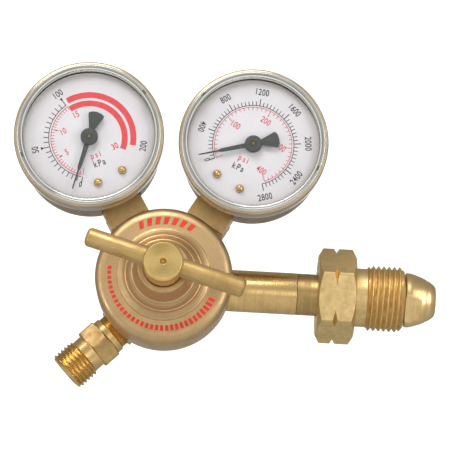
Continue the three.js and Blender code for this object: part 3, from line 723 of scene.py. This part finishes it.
def build_case(side, place):
    shell = [(0, -0.5), *arc(4.5, -90, 0, 12, (19.5, 4.0)), (24, 22.6), (23.2, 22.6),
             *arc(3.7, 0, -90, 12, (19.5, 4.0)), (0, 0.3)]
    case = lathe(f"{side}_gauge_shell", shell, place, case_gold, size=0.1, columns=180,
                 nodes=[f"{side}_gauge_case"], slot="case_gold")
    slot = piece("tool", *box(-7.45, 7.45, -26, -19.2, 0.4, 24), place, case_gold)
    boolean(case, slot, "DIFFERENCE")
    vent = piece("tool", *revolved([(0, -2), (3, -2), (3, 1), (0, 1)], 48), place, case_gold)
    vent.data.transform(Matrix.Translation((0, 14 * MM, 0)))
    boolean(case, vent, "DIFFERENCE")
    case.data.shade_smooth()
    case.data.set_sharp_from_angle(angle=math.radians(32))
    plug = [(0, -0.9), (1.9, -0.9), (2.7, -0.75), (2.7, 0.6), (3.9, 0.6), (3.9, 1.3), (0, 1.3)]
    lathe(f"{side}_gauge_vent_plug", plug, place @ Matrix.Translation((0, 14 * MM, 0)), rubber,
          size=0.2, columns=48, nodes=[f"{side}_gauge_blowout_plug"], slot="black_rubber")


def build_lens(side, place):
    profile = [
        (0, 24.75), (21.4, 24.75), *arc(1.0, 90, 0, 4, (21.4, 23.75)), (22.4, 22.9), (24.3, 22.9),
        (24.3, 19.8), (25.25, 19.8), (25.4, 19.95), *arc(0.9, 0, 60, 6, (24.5, 24.3)),
        (24.6, 25.2), (24.45, 25.25), *arc(0.75, 35, 120, 6, (23.7, 25.35)), (22.7, 25.95),
        (22.45, 25.85), (22.1, 25.95), (0, 25.98),
    ]
    lens = lathe(f"{side}_gauge_window", profile, place, lens_clear, size=0.08, columns=180,
                 nodes=[f"{side}_gauge_lens"], slot="clear_lens")
    lens.data.materials.append(lens_rim)
    lens.visible_shadow = False
    for face in lens.data.polygons:
        reach = max(math.hypot(*lens.data.vertices[i].co[:2]) for i in face.vertices)
        if reach > 22.42 * MM:
            face.material_index = 1
    for i, clockwise in enumerate((100, 260)):
        x, y = spot(23.6, clockwise)
        lug_place = place @ Matrix.Translation((x * MM, y * MM, 0)) @ Matrix.Rotation(
            math.radians(-clockwise), 4, "Z")
        lug = piece(f"{side}_gauge_lens_lug_{i + 1}", *box(-1.1, 1.1, -0.5, 0.5, 24.6, 26.1),
                    lug_place, lens_rim, slot="clear_lens")
        bevelled(lug, 0.3)


def build_pointer(side, place):
    blade = [
        (-0.85, 2.4), (-0.62, 11.0), (-0.3, 12.4), (-0.2, 18.9), (0.2, 18.9), (0.3, 12.4),
        (0.62, 11.0), (0.85, 2.4), (0.9, -2.4), (1.6, -4.6), (2.7, -7.6), (2.6, -8.2), (1.5, -8.8), (0, -9.0),
        (-1.5, -8.8), (-2.6, -8.2), (-2.7, -7.6), (-1.6, -4.6), (-0.9, -2.4),
    ]
    turned = place @ Matrix.Rotation(math.radians(-180 - POINTER_REST_DEG), 4, "Z")
    body = f"{side}_gauge_pointer"
    hand = piece(f"{side}_pointer_blade", *prism(blade, 21.4, 21.75), turned, pointer_black,
                 body=body, nodes=[f"{side}_gauge_pointer"], slot="pointer_black")
    bevelled(hand, 0.08, 2)
    hub = [(0.85, 21.0), (2.95, 21.0), (2.95, 22.1), (2.6, 22.45), (0.85, 22.5)]
    lathe(f"{side}_pointer_hub", hub, turned, pointer_black, size=0.15, columns=64, body=body,
          slot="pointer_black")
    pin = [(0, 20.5), (0.55, 20.5), (0.55, 22.6), (0.35, 22.8), (0, 22.8)]
    lathe(f"{side}_pointer_pin", pin, turned, machined, size=0.1, columns=32, body=body,
          slot="machined_brass")


def build_gauge(side, scale):
    place = gauge_place(side)
    build_case(side, place)
    build_stem(side, place)
    build_lens(side, place)
    disc = [(1.3, 19.6), (22.6, 19.6), (22.8, 19.7), (22.8, 20.1), (22.7, DIAL_FACE), (1.3, DIAL_FACE)]
    lathe(f"{side}_dial_plate", disc, place, dial_white, size=0.05, columns=120,
          nodes=[f"{side}_gauge_dial"], slot="dial_white")
    black, red, zone = scale()
    psi_at, kpa_at = UNIT_AT[side]
    black.append(lettering("kPa", 2.3, kpa_at, UNIT_TURN[side], 1.35))
    red.append(lettering("psi", 2.2, psi_at, UNIT_TURN[side], 1.5))
    piece(f"{side}_dial_black_print", *gathered(black), place, ink_black, slot="dial_white")
    piece(f"{side}_dial_red_print", *gathered(red), place, ink_red_fine, slot="dial_white")
    if zone:
        piece(f"{side}_dial_red_zone", *gathered(zone), place, ink_red, slot="dial_white")
    dial_domes(side, place)
    build_pointer(side, place)


build_body()
build_bonnet()
build_handle()
build_inlet()
build_outlet()
build_gauge("low", low_scale)
build_gauge("high", high_scale)


# ---- Floor, light and camera -----------------------------------------------------------------
def pale_floor():
    bpy.ops.mesh.primitive_plane_add(size=10, location=(0, 0, -0.45))
    floor = bpy.context.object
    floor.name = "floor"
    floor.data.materials.append(plain("pale_floor", (0.74, 0.74, 0.73), (0.70, 0.70, 0.69), 0.6))


def world():
    sky = bpy.data.worlds.new("studio")
    bpy.context.scene.world = sky
    sky.use_nodes = True
    tree = sky.node_tree
    direction = tree.nodes.new("ShaderNodeTexCoord").outputs["Generated"]

    def level(towards, start, end, low, high):
        dot = tree.nodes.new("ShaderNodeVectorMath")
        dot.operation = "DOT_PRODUCT"
        tree.links.new(direction, dot.inputs[0])
        dot.inputs[1].default_value = Vector(towards).normalized()
        ramp = tree.nodes.new("ShaderNodeMapRange")
        ramp.interpolation_type = "SMOOTHSTEP"
        for key, value in zip(("From Min", "From Max", "To Min", "To Max"), (start, end, low, high)):
            ramp.inputs[key].default_value = value
        tree.links.new(dot.outputs["Value"], ramp.inputs["Value"])
        return ramp.outputs[0]

    total = tree.nodes.new("ShaderNodeMath")
    tree.links.new(level((0, 1, 0.2), 0.955, 0.985, 0.0, 0.95), total.inputs[0])
    tree.links.new(level((0, -1, -0.35), -0.6, 0.9, 0.32, 0.50), total.inputs[1])
    background = tree.nodes["Background"]
    tree.links.new(total.outputs[0], background.inputs["Strength"])
    background.inputs["Color"].default_value = (1, 1, 1, 1)


def softbox(name, at, aim, size, power, colour=(1, 1, 1)):
    light = bpy.data.lights.new(name, "AREA")
    light.shape = "RECTANGLE"
    light.size, light.size_y = size
    light.energy = power
    light.color = colour
    thing = bpy.data.objects.new(name, light)
    bpy.context.scene.collection.objects.link(thing)
    thing.location = at
    thing.rotation_euler = (Vector(aim) - Vector(at)).to_track_quat("-Z", "Y").to_euler()


def camera():
    """Low and slightly rolled: 0.8 m from the middle of the object, looking up at it."""
    tilt, roll, yaw, distance = math.radians(11.62), math.radians(3.1), math.radians(-0.4), 0.8
    target = Vector(((CENTRE_X + 19.73) * MM, 0, 22.91 * MM))
    back = Vector((math.sin(yaw) * math.cos(tilt), -math.cos(yaw) * math.cos(tilt), -math.sin(tilt)))
    right = (-back).cross(Vector((0, 0, 1))).normalized()
    up = right.cross(-back)
    across = math.cos(roll) * right + math.sin(roll) * up
    above = -math.sin(roll) * right + math.cos(roll) * up
    place = Matrix((across, above, back)).transposed().to_4x4()
    place.translation = target + back * distance
    lens = bpy.data.cameras.new("camera")
    lens.sensor_width = 36
    lens.lens = 184.8
    lens.clip_start = 0.01
    thing = bpy.data.objects.new("camera", lens)
    bpy.context.scene.collection.objects.link(thing)
    thing.matrix_world = place
    bpy.context.scene.camera = thing


pale_floor()
world()
middle = (-0.07, 0, 0.02)
softbox("key", (-0.35, -0.75, 0.95), middle, (0.9, 0.5), 9.5)
softbox("fill", (0.85, -0.65, 0.15), middle, (0.25, 0.9), 4.0)
softbox("strip", (-0.9, -0.40, -0.1), middle, (0.15, 0.8), 1.8)
softbox("low", (0.0, -0.85, -0.13), middle, (1.2, 0.3), 1.1)
camera()
bpy.context.scene.view_settings.view_transform = "Standard"
